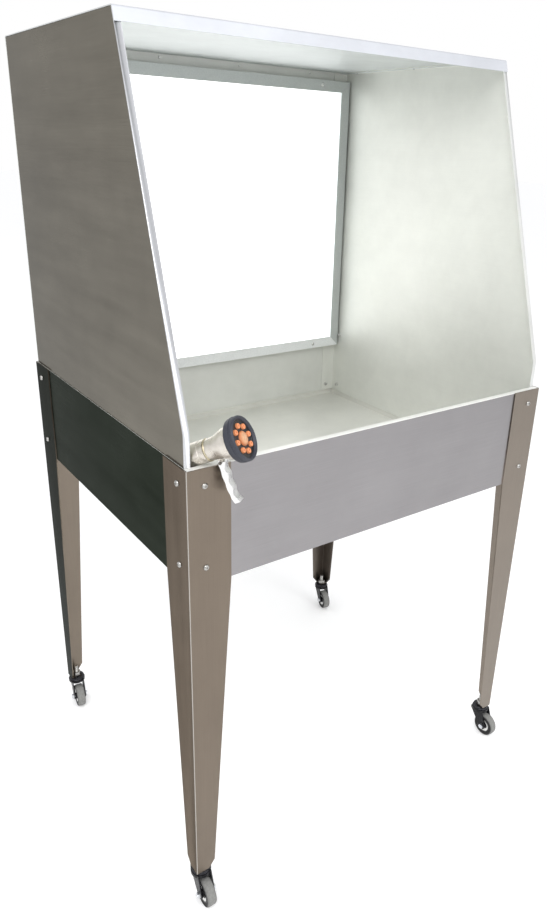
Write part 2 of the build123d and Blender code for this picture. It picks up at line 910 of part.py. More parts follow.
with BuildPart() as gun_inlet:
    with BuildSketch(inlet_plane):
        Circle(inlet_r)
        Circle(inlet_bore_r, mode=Mode.SUBTRACT)
    extrude(amount=inlet_length)
save(gun_inlet.part.moved(gun_place), "gun_inlet")

trigger_back = pivot_x - ear_r
trigger_front = [
    (trigger_back + deep * trigger_t, pivot_z - down * trigger_length)
    for down, deep in trigger_waves
]

with BuildPart() as gun_trigger:
    with BuildSketch(Plane.XZ.offset(-trigger_half)):
        with BuildLine():
            Line((trigger_back, pivot_z), (trigger_back, pivot_z - trigger_length))
            Line((trigger_back, pivot_z - trigger_length), trigger_front[0])
            Spline(*trigger_front, (pivot_x + ear_r, pivot_z))
            ThreePointArc(
                (pivot_x + ear_r, pivot_z), (pivot_x, pivot_z + ear_r), (trigger_back, pivot_z)
            )
        make_face()
    extrude(amount=2 * trigger_half)
    with BuildSketch(Plane.XZ.offset(-lug_half - fork_gap)):
        with Locations((pivot_x, pivot_z)):
            Rectangle(*trigger_slot)
    extrude(amount=2 * (lug_half + fork_gap), mode=Mode.SUBTRACT)
    with BuildSketch(Plane.XZ.offset(-trigger_half)):
        with Locations((pivot_x, pivot_z)):
            Circle(pivot_r + running)
    extrude(amount=2 * trigger_half, mode=Mode.SUBTRACT)
save(gun_trigger.part.moved(gun_place), "gun_trigger")

pin_half = trigger_half + fork_gap

with BuildPart() as gun_pivot_pin:
    with BuildSketch(Plane.XZ.offset(-pin_half)):
        with Locations((pivot_x, pivot_z)):
            Circle(pivot_r)
    extrude(amount=2 * pin_half)
    for start in (-pin_half - pivot_r, pin_half):
        with BuildSketch(Plane.XZ.offset(start)):
            with Locations((pivot_x, pivot_z)):
                Circle(pin_head_r)
        extrude(amount=pivot_r)
save(gun_pivot_pin.part.moved(gun_place), "gun_pivot_pin")

with BuildPart() as gun_bezel:
    with BuildSketch(Plane.XZ):
        with BuildLine():
            Polyline(
                (turret_x, face_r),
                (turret_x, bezel_r - bezel_bevel),
                (turret_x + bezel_bevel, bezel_r),
                (turret_x + bezel_depth - bezel_bevel, bezel_r),
                (turret_x + bezel_depth, bezel_r - bezel_lip),
                (turret_x + bezel_depth, face_r),
                close=True,
            )
        make_face()
    revolve(axis=Axis.X)
save(gun_bezel.part.moved(gun_place), "gun_bezel")

with BuildPart() as gun_dial:
    with BuildSketch(Plane.YZ.offset(turret_x)):
        Circle(face_r)
    extrude(amount=face_x - turret_x)
    with BuildSketch(Plane.YZ.offset(turret_x)):
        Circle(spigot_r + running)
    extrude(amount=spigot_length, mode=Mode.SUBTRACT)
save(gun_dial.part.moved(gun_place), "gun_dial")

with BuildPart() as gun_jets:
    with BuildSketch(Plane.YZ.offset(face_x)):
        Circle(centre_jet_r)
        with PolarLocations(jet_circle_r, jet_count):
            Circle(jet_r)
            Circle(jet_bore_r, mode=Mode.SUBTRACT)
    extrude(amount=jet_h)
save(gun_jets.part.moved(gun_place), "gun_jets")
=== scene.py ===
import math

import bmesh
import bpy
from mathutils import Matrix, Vector


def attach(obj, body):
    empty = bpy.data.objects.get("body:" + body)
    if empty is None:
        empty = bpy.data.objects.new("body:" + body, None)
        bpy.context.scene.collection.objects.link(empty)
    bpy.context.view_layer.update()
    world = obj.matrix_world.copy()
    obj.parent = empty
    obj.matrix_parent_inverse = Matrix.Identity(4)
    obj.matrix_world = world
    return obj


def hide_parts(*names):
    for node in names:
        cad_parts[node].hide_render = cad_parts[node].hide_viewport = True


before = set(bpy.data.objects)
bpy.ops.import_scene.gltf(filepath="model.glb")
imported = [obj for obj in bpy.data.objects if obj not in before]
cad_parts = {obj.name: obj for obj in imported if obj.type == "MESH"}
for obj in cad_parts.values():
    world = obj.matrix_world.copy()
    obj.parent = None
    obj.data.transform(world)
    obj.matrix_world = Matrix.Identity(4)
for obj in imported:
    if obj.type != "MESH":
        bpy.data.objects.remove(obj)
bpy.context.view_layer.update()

MM = 0.001

# Sizes that the part's solids share, in millimetres
CASTER_HEIGHT = 68
RACE_T = 5
FORK_GAP = 0.3
CROWN_T = 3
CROWN_R = 18
RACE_R = 17
KINGPIN_R = 4
KINGPIN_HEAD_R = 6.5
KINGPIN_HEAD_T = 3.5
STEM_R = 5
STEM_HEIGHT = 26
STEM_X = 365
STEM_YS = {"front": -287, "back": 323}
SWIVELS = {"front_left": 268, "front_right": 272, "back_left": 262, "back_right": 257}
TRAIL = 20
WHEEL_R = 25
TREAD_HALF = 9
HUB_R = 17
HUB_HALF = 10
AXLE_R = 3

GUN_ORIGIN = (-337, -294, 857.562)
GUN_YAW = 36
GUN_PITCH = 26
BARREL_R = 17
BEZEL_SKIRT = 5.5
BARREL_BACK = 42
NECK_R = 14
NECK_WIDTH = 5
CONE_LENGTH = 45.5
CONE_R = 26
BEZEL_R = 32.5
BEZEL_DEPTH = 11.6
FACE_R = 27
FACE_RECESS = 4
JET_H = 3
JET_CIRCLE_R = 18.5
JET_COUNT = 8
JET_R = 4.2
CENTRE_JET_R = 10.5
GRIP_START = 27
GRIP_ANGLE = 32
GRIP_LENGTH = 104
GRIP_HALF_DEPTH = 13
GRIP_HALF_WIDTH = 10.5
INLET_R = 13.2
INLET_LENGTH = 14
PIVOT_X = 9
PIVOT_DROP = 21.5
PIVOT_R = 1.5
LUG_HALF = 3.5
EAR_R = 3.4
TRIGGER_LENGTH = 62
TRIGGER_HALF = 7.2
LEVER_DEPTH = 9.2
LEVER_LEAN = 5.0
LEVER_WAVE = 1.25
LEVER_WAVES = 3.2
LEVER_TIP = 2.5


# Node graphs


def add_node(tree, kind, inputs=(), **settings):
    """New node with its settings, and its inputs set or linked."""
    made = tree.nodes.new(kind)
    for key, value in settings.items():
        setattr(made, key, value)
    for key, value in dict(inputs).items():
        if isinstance(value, bpy.types.NodeSocket):
            tree.links.new(value, made.inputs[key])
        else:
            made.inputs[key].default_value = value
    return made


def new_material(name, **sockets):
    """Material with its principled shader's plain sockets set, its tree and that shader."""
    material = bpy.data.materials.new(name)
    material.use_nodes = True
    tree = material.node_tree
    shader = tree.nodes["Principled BSDF"]
    for key, value in sockets.items():
        shader.inputs[key.replace("_", " ")].default_value = value
    return material, tree, shader


def noise(tree, stretch, detail=3.0, roughness=0.55, shift=0.0):
    """Noise in the row frame, its cells stretched by the three scales."""
    place = add_node(tree, "ShaderNodeTexCoord").outputs["Object"]
    mapped = add_node(
        tree,
        "ShaderNodeMapping",
        {"Vector": place, "Scale": stretch, "Location": (shift, shift, shift)},
    )
    made = add_node(
        tree,
        "ShaderNodeTexNoise",
        {"Vector": mapped.outputs["Vector"], "Scale": 1.0, "Detail": detail, "Roughness": roughness},
    )
    return made.outputs["Fac"]


def ramp(tree, factor, stops):
    """Colour ramp through the stops of (place, colour)."""
    made = add_node(tree, "ShaderNodeValToRGB", {"Fac": factor})
    elements = made.color_ramp.elements
    while len(elements) < len(stops):
        elements.new(0.5)
    for element, (place, colour) in zip(elements, stops):
        element.position = place
        element.color = (*colour, 1)
    return made.outputs["Color"]


def remap(tree, value, low, high, to_low, to_high):
    """Value taken from one range to another, and held at its ends."""
    inputs = {"Value": value, "From Min": low, "From Max": high, "To Min": to_low, "To Max": to_high}
    return add_node(tree, "ShaderNodeMapRange", inputs).outputs["Result"]


def maths(tree, operation, first, second):
    """One scalar sum of two values."""
    return add_node(tree, "ShaderNodeMath", {0: first, 1: second}, operation=operation).outputs["Value"]


def along(tree, direction, low, high):
    """How far a point lies between two distances along a direction, from 0 to 1."""
    place = add_node(tree, "ShaderNodeTexCoord").outputs["Object"]
    made = add_node(tree, "ShaderNodeVectorMath", {0: place, 1: direction}, operation="DOT_PRODUCT")
    return remap(tree, made.outputs["Value"], low, high, 0.0, 1.0)


def shade(tree, colour, factor, low, high):
    """Colour made lighter or darker as the factor goes from 0 to 1."""
    strength = remap(tree, factor, 0.25, 0.75, low, high)
    grey = add_node(
        tree, "ShaderNodeCombineColor", {"Red": strength, "Green": strength, "Blue": strength}
    )
    made = add_node(
        tree,
        "ShaderNodeMixRGB",
        {"Fac": 1.0, "Color1": colour, "Color2": grey.outputs["Color"]},
        blend_type="MULTIPLY",
    )
    return made.outputs["Color"]


# Materials

# How a sheet is finished: metal share, tint at its grazing edge, roughness, and tone of its
# lines, bands and stains
SATIN = {"metal": 1.0, "edge": 1.0, "rough": 0.34, "smudge": 0.05, "lines": 0.06, "bands": 0.03, "stains": 0.03}
DARK = {"metal": 1.0, "edge": 0.42, "rough": 0.24, "smudge": 0.05, "lines": 0.06, "bands": 0.12, "stains": 0.06}
GLOSSY = {"metal": 1.0, "edge": 0.55, "rough": 0.22, "smudge": 0.05, "lines": 0.06, "bands": 0.10, "stains": 0.05}
PALE = {"metal": 0.55, "edge": 1.0, "rough": 0.50, "smudge": 0.08, "lines": 0.02, "bands": 0.01, "stains": 0.045}
# Finish of the painted highlight on the tub rim's top edges, with little metal so its light tone shows.
PAINTED_HIGHLIGHT_FINISH = {"metal": 0.3, "edge": 1.0, "rough": 0.45, "smudge": 0.05, "lines": 0.03, "bands": 0.02, "stains": 0.02}


def bump(tree, shader, height, strength, distance):
    """Relief on a shader from a height."""
    made = add_node(
        tree, "ShaderNodeBump", {"Height": height, "Strength": strength, "Distance": distance}
    )
    tree.links.new(made.outputs["Normal"], shader.inputs["Normal"])


def brushed(name, grain, tone, finish):
    """Brushed stainless sheet of one tone, its lines along an axis."""
    material, tree, shader = new_material(name, Metallic=finish["metal"])
    shader.inputs["Specular Tint"].default_value = (*[finish["edge"]] * 3, 1)
    fine = [FINE_LINES] * 3
    fine[grain] = LONG_LINES
    wide = [WIDE_BANDS] * 3
    wide[grain] = LONG_BANDS
    lines = noise(tree, fine)
    bands = noise(tree, wide, shift=3.7)
    patches = noise(tree, (6, 6, 6), detail=5)
    stains = noise(tree, (17, 17, 17), detail=6, roughness=0.62, shift=1.3)
    colour = shade(tree, (*tone, 1), lines, 1 - finish["lines"], 1 + finish["lines"])
    colour = shade(tree, colour, bands, 1 - finish["bands"], 1 + finish["bands"])
    colour = shade(tree, colour, patches, 0.94, 1.06)
    colour = shade(tree, colour, stains, 1 - finish["stains"], 1 + finish["stains"])
    tree.links.new(colour, shader.inputs["Base Color"])
    rough = finish["rough"]
    blotch = remap(tree, patches, 0.3, 0.7, rough - finish["smudge"], rough + finish["smudge"])
    total = maths(tree, "ADD", blotch, remap(tree, lines, 0.3, 0.7, -0.03, 0.03))
    tree.links.new(total, shader.inputs["Roughness"])
    bump(tree, shader, lines, 0.15, 0.0002)
    return material


def mottled(name, dark, light, metallic=0.0, roughness=0.4, size=120, relief=0.1, **sockets):
    """Moulded, painted or plated surface with a mottled tone and a fine relief."""
    material, tree, shader = new_material(name, Metallic=metallic, **sockets)
    cells = noise(tree, (size, size, size), detail=4)
    colour = ramp(tree, cells, ((0.3, dark), (0.7, light)))
    tree.links.new(colour, shader.inputs["Base Color"])
    rough = remap(tree, cells, 0.3, 0.7, roughness - 0.06, roughness + 0.08)
    tree.links.new(rough, shader.inputs["Roughness"])
    bump(tree, shader, cells, relief, 0.0004)
    return material


def radius_of(tree):
    """Distance of a point from a piece's own x axis."""
    place = add_node(tree, "ShaderNodeTexCoord").outputs["Object"]
    flat = add_node(
        tree, "ShaderNodeVectorMath", {0: place, 1: (0, 1, 1)}, operation="MULTIPLY"
    ).outputs["Vector"]
    return add_node(
        tree, "ShaderNodeVectorMath", {0: flat}, operation="LENGTH"
    ).outputs["Value"]


def turned(name, stops, span, roughness=0.5, size=300, metallic=0.0, relief=0.2):
    """Surface whose colour changes from its axis outwards, with a mottled tone."""
    material, tree, shader = new_material(name, Metallic=metallic, Roughness=roughness)
    cells = noise(tree, (size, size, size), detail=4)
    colour = ramp(tree, remap(tree, radius_of(tree), *span, 0.0, 1.0), stops)
    colour = shade(tree, colour, cells, 0.8, 1.2)
    tree.links.new(colour, shader.inputs["Base Color"])
    bump(tree, shader, cells, relief, 0.0004)
    return material


FINE_LINES = 1400
LONG_LINES = 10
WIDE_BANDS = 34
LONG_BANDS = 3.5
UP = (0, 0, 1)
RIGHT = (1, 0, 0)
BACK = (0, 1, 0)



# Painted reflection: the outer face of the left hood sheet gets a dark, warm tone, though it is the same steel as
# the sheet's pale inside.
left_outer_painted_reflection = brushed("steel_left_outer", 1, (0.205, 0.190, 0.160), GLOSSY)
# Painted reflection: the outer face of the tub's left sheet gets a near-black tone, though it is the same steel
# as its inside.
tub_side_painted_reflection = brushed("steel_tub_side", 1, (0.045, 0.052, 0.043), DARK)
# Painted reflection: the tub's front sheet gets a darker grey copy of the steel.
tub_front = brushed("steel_tub_front_painted_reflection", 0, (0.280, 0.270, 0.275), SATIN)
hood_steel = brushed("steel_hood", 1, (0.70, 0.71, 0.67), PALE)
back_steel = brushed("steel_back", 0, (0.66, 0.67, 0.64), PALE)
# Painted light and shade: the two front flanges are one steel, the left given a darker, bluer tone and the right
# a lighter one.
flange_left_painted_shade = brushed("steel_flange_left", 2, (0.60, 0.61, 0.63), SATIN)
flange_right_painted_light = brushed("steel_flange_right", 2, (0.78, 0.79, 0.77), SATIN)
top_steel = brushed("steel_top", 0, (0.68, 0.69, 0.70), SATIN)
# Painted shade: the front lip of the top sheet gets a darker, bluer tone than the sheet's top.
lip_painted_shade = brushed("steel_lip", 0, (0.54, 0.555, 0.590), PALE)
under_steel = brushed("steel_under", 0, (0.66, 0.69, 0.69), PALE)
pan_steel = brushed("steel_pan", 0, (0.66, 0.66, 0.62), PALE)
# Painted highlight: a light tone on the top edges of the tub's left and front sheets.
top_edge_painted_highlight = brushed("steel_top_edge_painted_highlight", 1, (0.75, 0.75, 0.72), PAINTED_HIGHLIGHT_FINISH)
# Painted reflection and shade: the legs are one steel, each leg given its own dark, warm tone, with darker or
# near-black copies for the faces that look to the left.
leg_left = brushed("steel_leg_left", 2, (0.180, 0.148, 0.118), SATIN)
leg_left_side_painted_reflection = brushed("steel_leg_left_side", 2, (0.170, 0.140, 0.112), DARK)
leg_right_painted_reflection = brushed("steel_leg_right", 2, (0.220, 0.190, 0.160), SATIN)
leg_back = brushed("steel_leg_back", 2, (0.200, 0.168, 0.136), SATIN)
leg_back_side_painted_reflection = brushed("steel_leg_back_side", 2, (0.030, 0.034, 0.028), DARK)
leg_far_painted_reflection = brushed("steel_leg_far", 2, (0.150, 0.130, 0.112), SATIN)
# Painted highlight: a lighter tone down the rounded fold of the front-left leg.
fold_painted_highlight = brushed("steel_fold_painted_highlight", 2, (0.40, 0.38, 0.35), SATIN)
bright_steel = mottled("bright_steel", (0.60, 0.60, 0.60), (0.78, 0.78, 0.77), 1.0, 0.24, 260)
zinc = mottled("zinc_plate", (0.60, 0.62, 0.66), (0.78, 0.79, 0.80), 1.0, 0.30, 220)
brass = mottled("brass", (0.50, 0.38, 0.18), (0.70, 0.56, 0.30), 1.0, 0.32, 200)
seal_rubber = mottled("seal_rubber", (0.012, 0.012, 0.012), (0.03, 0.03, 0.03), 0.0, 0.7, 400)
anodised = mottled("anodised_bars", (0.48, 0.51, 0.50), (0.57, 0.60, 0.59), 0.5, 0.45, 500, 0.15)
# Painted light: the frame's bottom bar gets a paler copy of the anodised finish of its other bars.
anodised_painted_light = mottled("anodised_painted_light", (0.70, 0.72, 0.72), (0.82, 0.84, 0.84), 0.3, 0.45, 500, 0.15)
white_paint = mottled("white_paint", (0.80, 0.80, 0.80), (0.88, 0.88, 0.88), 0.0, 0.4, 300)
board_white = mottled("board_white", (0.82, 0.82, 0.78), (0.92, 0.92, 0.90), 0.0, 0.5, 300)
gland_black = mottled("gland_black", (0.012, 0.012, 0.014), (0.03, 0.03, 0.035), 0.0, 0.42, 500)
fork_black = mottled("fork_black", (0.005, 0.005, 0.006), (0.012, 0.012, 0.014), 0.0, 0.30, 260, Specular_IOR_Level=0.18)
race_black = mottled("race_black", (0.014, 0.014, 0.017), (0.036, 0.036, 0.044), 0.5, 0.22, 260)
nickel = mottled("satin_nickel", (0.58, 0.54, 0.48), (0.74, 0.70, 0.64), 1.0, 0.30, 90)
lever_metal = mottled("lever_metal", (0.72, 0.72, 0.71), (0.86, 0.86, 0.85), 1.0, 0.30, 160)
# Painted shade: a darker copy of the plated steel for the leg bolts, the caster studs and the caster nuts.
fastener_painted_dark = mottled("fastener_painted_dark", (0.34, 0.335, 0.32), (0.50, 0.49, 0.47), 1.0, 0.30, 260)
ring_brass = mottled("ring_brass", (0.50, 0.44, 0.30), (0.66, 0.60, 0.44), 1.0, 0.34, 200)
bezel_rubber = mottled("bezel_rubber", (0.016, 0.018, 0.028), (0.034, 0.037, 0.052), 0.0, 0.50, 700, 0.3)
dial_black = mottled("dial_black", (0.006, 0.006, 0.007), (0.016, 0.016, 0.018), 0.0, 0.35, 300)
jet_orange = mottled("jet_orange", (0.62, 0.20, 0.075), (0.80, 0.34, 0.16), 0.0, 0.45, 260)
pin_steel = mottled("pin_steel", (0.10, 0.09, 0.08), (0.20, 0.18, 0.16), 1.0, 0.4, 300)
disc_orange = turned(
    "disc_orange", ((0.0, (0.60, 0.36, 0.22)), (0.6, (0.56, 0.30, 0.16)), (1.0, (0.50, 0.17, 0.06))), (0.0, 0.0105), 0.45
)
hub_pale = turned(
    "hub_pale",
    ((0.0, (0.80, 0.80, 0.78)), (0.60, (0.80, 0.80, 0.78)), (0.66, (0.012, 0.012, 0.012)), (1.0, (0.012, 0.012, 0.012))),
    (0.009, 0.017),
    0.4,
    relief=0.08,
)
tyre_rubber = turned(
    "tyre_rubber",
    ((0.0, (0.008, 0.008, 0.008)), (0.66, (0.012, 0.012, 0.012)), (0.86, (0.15, 0.15, 0.145)), (1.0, (0.21, 0.21, 0.20))),
    (0.017, 0.025),
    0.75,
)


def opal():
    """Opal sheet lit from behind, a touch dimmer towards its edges."""
    material, tree, shader = new_material(
        "opal_sheet", Roughness=0.35, Emission_Strength=0.95
    )
    across = remap(tree, maths(tree, "ABSOLUTE", along(tree, RIGHT, -0.35, 0.35), 0.0), 0.0, 1.0, -1.0, 1.0)
    falloff = remap(tree, maths(tree, "POWER", maths(tree, "ABSOLUTE", across, 0.0), 6.0), 0.0, 1.0, 0.0, 1.0)
    colour = ramp(tree, falloff, ((0.0, (1.0, 1.0, 1.0)), (1.0, (0.90, 0.93, 0.94))))
    tree.links.new(colour, shader.inputs["Base Color"])
    tree.links.new(colour, shader.inputs["Emission Color"])
    return material


opal_sheet = opal()


# Mesh building


def finish_piece(name, mesh, materials, body, nodes=(), place=Matrix.Identity(4), smooth=40):
    """Object from a mesh, with its finish, riding on its body and standing for its nodes."""
    mesh.validate()
    for material in materials:
        mesh.materials.append(material)
    mesh.shade_smooth()
    mesh.set_sharp_from_angle(angle=math.radians(smooth))
    piece = bpy.data.objects.new(name, mesh)
    bpy.context.scene.collection.objects.link(piece)
    piece.matrix_world = place
    weights = piece.modifiers.new("normals", "WEIGHTED_NORMAL")
    weights.keep_sharp = True
    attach(piece, body)
    if nodes:
        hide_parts(*nodes)
    return piece


def to_mesh(name, bm):
    """Mesh data from an edited mesh, its faces turned outwards."""
    bmesh.ops.recalc_face_normals(bm, faces=bm.faces)
    mesh = bpy.data.meshes.new(name)
    bm.to_mesh(mesh)
    bm.free()
    return mesh


def clean_copy(node):
    """Edited mesh of a CAD node with its flat faces joined again."""
    bm = bmesh.new()
    bm.from_mesh(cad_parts[node].data)
    bmesh.ops.remove_doubles(bm, verts=bm.verts, dist=1e-6)
    bmesh.ops.dissolve_limit(bm, angle_limit=math.radians(1), verts=bm.verts, edges=bm.edges)
    return bm


def face_width(face):
    """Rough width of a long face."""
    return face.calc_area() / max(edge.calc_length() for edge in face.edges)


def crease_edges(bm, least_angle, least_length):
    """Edges between two faces that meet at more than an angle."""
    return [
        edge
        for edge in bm.edges
        if len(edge.link_faces) == 2
        and edge.calc_face_angle() > math.radians(least_angle)
        and edge.calc_length() > least_length
    ]


def round_edges(bm, edges, radius, segments):
    """Round some edges of a mesh."""
    bmesh.ops.bevel(
        bm,
        geom=edges,
        offset=radius,
        segments=segments,
        profile=0.5,
        affect="EDGES",
        clamp_overlap=True,
    )


def folded_sheet(node, materials, thickness, body="booth", split=None):
    """Folded sheet: a CAD panel with rounded bends and eased edges.

    split picks the material index of a face from its normal and its middle."""
    bm = clean_copy(node)
    wide = [
        edge
        for edge in crease_edges(bm, 15, 0.02)
        if all(face_width(face) > FLANGE_LEAST for face in edge.link_faces)
    ]
    outer = [edge for edge in wide if edge.is_convex]
    round_edges(bm, outer, BEND_R, 4)
    inner = [
        edge
        for edge in crease_edges(bm, 15, 0.02)
        if not edge.is_convex and all(face_width(face) > FLANGE_LEAST for face in edge.link_faces)
    ]
    round_edges(bm, inner, BEND_R - thickness, 3)
    round_edges(bm, [e for e in crease_edges(bm, 50, 0.003) if e.is_convex], EDGE_EASE, 1)
    if split:
        for face in bm.faces:
            face.material_index = split(face.normal, face.calc_center_median())
    return finish_piece(f"{node}_sheet", to_mesh(node, bm), materials, body, (node,))


def eased(node, material, radius, body, segments=2, least=35):
    """CAD piece with its edges rounded."""
    bm = clean_copy(node)
    round_edges(bm, crease_edges(bm, least, 0.0008), radius, segments)
    return finish_piece(f"{node}_eased", to_mesh(node, bm), [material], body, (node,))


def lathe(name, profile, material, body, place, nodes=(), turns=56, closed=True, smooth=32):
    """Profile of (along, radius) points in millimetres turned round the local x axis."""
    bm = bmesh.new()
    rings = []
    for x, radius in profile:
        if radius == 0:
            rings.append([bm.verts.new((x * MM, 0, 0))])
            continue
        rings.append(
            [
                bm.verts.new(
                    (
                        x * MM,
                        radius * MM * math.cos(math.tau * step / turns),
                        radius * MM * math.sin(math.tau * step / turns),
                    )
                )
                for step in range(turns)
            ]
        )
    pairs = list(zip(rings, rings[1:]))
    if closed:
        pairs.append((rings[-1], rings[0]))
    for first, second in pairs:
        for step in range(turns):
            after = (step + 1) % turns
            if len(first) == 1 and len(second) == 1:
                continue
            if len(first) == 1:
                bm.faces.new((first[0], second[step], second[after]))
            elif len(second) == 1:
                bm.faces.new((first[step], second[0], first[after]))
            else:
                bm.faces.new((first[step], second[step], second[after], first[after]))
    return finish_piece(name, to_mesh(name, bm), [material], body, nodes, place, smooth)


def ring_outline(half_depth, half_width, count):
    """Points round an ellipse."""
    return [
        (
            half_depth * math.cos(math.tau * step / count),
            half_width * math.sin(math.tau * step / count),
        )
        for step in range(count)
    ]


# Sheet metal


FLANGE_LEAST = 0.004
BEND_R = 0.0026
EDGE_EASE = 0.00035
SHEET = 0.0015
LEG_SHEET = 0.002


def by_lid(normal, middle):
    """Index 1 for the top's front lip, 2 for its underside, 0 for the others."""
    if normal.y < -0.3:
        return 1
    return 2 if normal.z < -0.5 else 0


def by_rim(normal, middle):
    """Index 1 for the rim's top, 0 for the others."""
    return 1 if normal.z > 0.4 else 0


def by_side(normal, middle):
    """Index 1 for faces that look to the left, 2 for a top edge, 0 for the others."""
    if normal.x < -0.15:
        return 1
    return 2 if normal.z > 0.7 else 0


def by_flange(normal, middle):
    """Index 1 for the left, 2 for a flange's underside, 3 for one that leans, 4 for an upright one."""
    if normal.y < -0.97:
        return 4 if middle.y < 0 else 0
    if normal.y < -0.5:
        return 3
    if normal.z < -0.7:
        return 2
    return 1 if normal.x < -0.15 else 0


def by_wall(normal, middle):
    """As by_flange, with 1 for the bend under the right side's top flange."""
    if normal.z < -0.1 and normal.x < -0.1:
        return 1
    return 0 if normal.x < -0.15 else by_flange(normal, middle)


def by_fold(normal, middle):
    """Index 1 for faces that look to the left, 2 for the middle of a fold, 0 for the others."""
    if normal.x < -0.3 and normal.y < -0.3:
        return 2
    return 1 if normal.x < -0.5 else 0


def carry(node, material):
    """Finish of a CAD node that stays as it is."""
    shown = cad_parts[node]
    shown.data.materials.clear()
    shown.data.materials.append(material)


folded_sheet(
    "hood_left_panel", [hood_steel, left_outer_painted_reflection, under_steel, flange_left_painted_shade, flange_left_painted_shade], SHEET, split=by_flange
)
folded_sheet(
    "hood_right_panel", [hood_steel, hood_steel, under_steel, flange_right_painted_light, flange_right_painted_light], SHEET, split=by_wall
)
folded_sheet("hood_back_panel", [back_steel], SHEET)
folded_sheet("hood_top_panel", [top_steel, lip_painted_shade, under_steel], SHEET, split=by_lid)
folded_sheet("tub_left_panel", [hood_steel, tub_side_painted_reflection, top_edge_painted_highlight], SHEET, split=by_side)
folded_sheet("tub_right_panel", [hood_steel, hood_steel, hood_steel], SHEET, split=by_side)
folded_sheet("tub_front_panel", [tub_front, top_edge_painted_highlight], SHEET, split=by_rim)
folded_sheet("tub_back_panel", [hood_steel], SHEET)
folded_sheet("leg_front_left", [leg_left, leg_left_side_painted_reflection, fold_painted_highlight], LEG_SHEET, split=by_fold)
folded_sheet("leg_front_right", [leg_right_painted_reflection], LEG_SHEET)
folded_sheet("leg_back_left", [leg_back, leg_back_side_painted_reflection, leg_back_side_painted_reflection], LEG_SHEET, split=by_fold)
folded_sheet("leg_back_right", [leg_far_painted_reflection], LEG_SHEET)
for edge in ("top", "left", "right"):
    eased(f"light_frame_{edge}", anodised, 0.0005, "booth")
eased("light_frame_bottom", anodised_painted_light, 0.0005, "booth")

for name, finish in {
    "tub_floor_pan": pan_steel,
    "drain_waste": bright_steel,
    "drain_gasket": seal_rubber,
    "drain_locknut": brass,
    "drain_strainer": bright_steel,
    "leg_bolts": fastener_painted_dark,
    "leg_nuts": bright_steel,
    "hood_screws": bright_steel,
    "light_screws": bright_steel,
    "light_diffuser": opal_sheet,
    "light_tray": white_paint,
    "light_strips": board_white,
    "cable_gland": gland_black,
    "cable_gland_nut": gland_black,
    "caster_nuts": fastener_painted_dark,
    "gun_pivot_pin": pin_steel,
}.items():
    carry(name, finish)


# Casters


